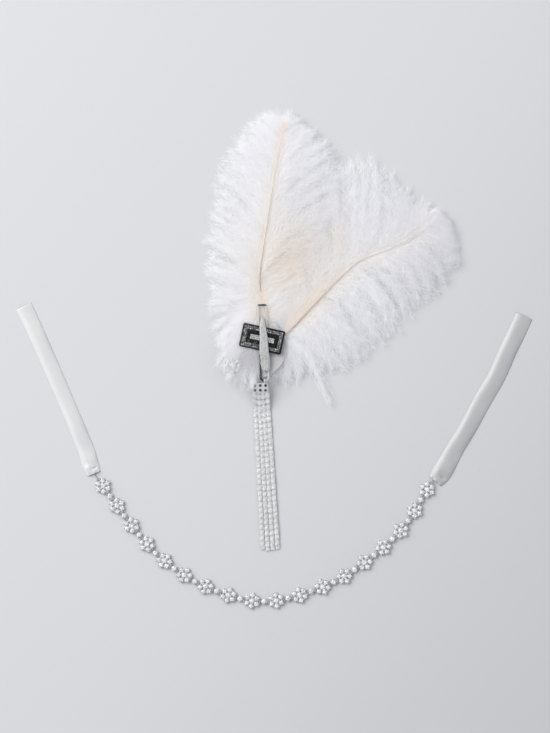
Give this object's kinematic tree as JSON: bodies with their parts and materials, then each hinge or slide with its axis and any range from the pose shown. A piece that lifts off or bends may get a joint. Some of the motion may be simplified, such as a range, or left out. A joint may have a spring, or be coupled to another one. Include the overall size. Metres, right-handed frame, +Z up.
{
  "type": "flapper feather headband with a detachable plume clip",
  "caption": "Feather headband laid flat: a crystal flower chain with satin ties, and an ostrich plume clip with a black crystal buckle, satin fold and cup-chain tassel.",
  "frame": {"origin": "middle of the hair clip's flat underside, on the surface that the headband lies on", "axes": "+Z up from that surface, +Y from the clip towards the upright plume's tip, +X from the left tie to the right one"},
  "size_m": [0.3855, 0.3748, 0.0129],
  "materials": {
    "plume": "soft white ostrich barbs",
    "felt": "matt white felt",
    "steel": "plain steel",
    "enamel": "glossy black",
    "crystal": "foil-backed clear crystal",
    "silver": "bright silver plate",
    "satin": "smooth satin ribbon"
  },
  "bodies": {
    "root": {"hair_clip": "steel", "backing_disc": "felt", "plume_upright": "plume", "plume_leaning": "plume", "buckle_plate": "enamel", "buckle_border": "crystal", "buckle_bar": "crystal", "tassel_loop": "silver", "satin_fold": "satin", "crystal_button": "crystal", "crystal_tassel": "silver", "flower_01": "crystal", "flower_02": "crystal", "flower_03": "crystal", "flower_04": "crystal", "flower_05": "crystal", "flower_06": "crystal", "flower_07": "crystal", "flower_08": "crystal", "flower_09": "crystal", "flower_10": "crystal", "flower_11": "crystal", "flower_12": "crystal", "flower_13": "crystal", "flower_14": "crystal", "flower_15": "crystal", "flower_16": "crystal", "flower_17": "crystal", "flower_18": "crystal", "link_01": "crystal", "link_02": "crystal", "link_03": "crystal", "link_04": "crystal", "link_05": "crystal", "link_06": "crystal", "link_07": "crystal", "link_08": "crystal", "link_09": "crystal", "link_10": "crystal", "link_11": "crystal", "link_12": "crystal", "link_13": "crystal", "link_14": "crystal", "link_15": "crystal", "link_16": "crystal", "link_17": "crystal", "end_link_left": "silver", "end_link_right": "silver", "ribbon_left": "satin", "ribbon_right": "satin"}
  },
  "joints": []
}
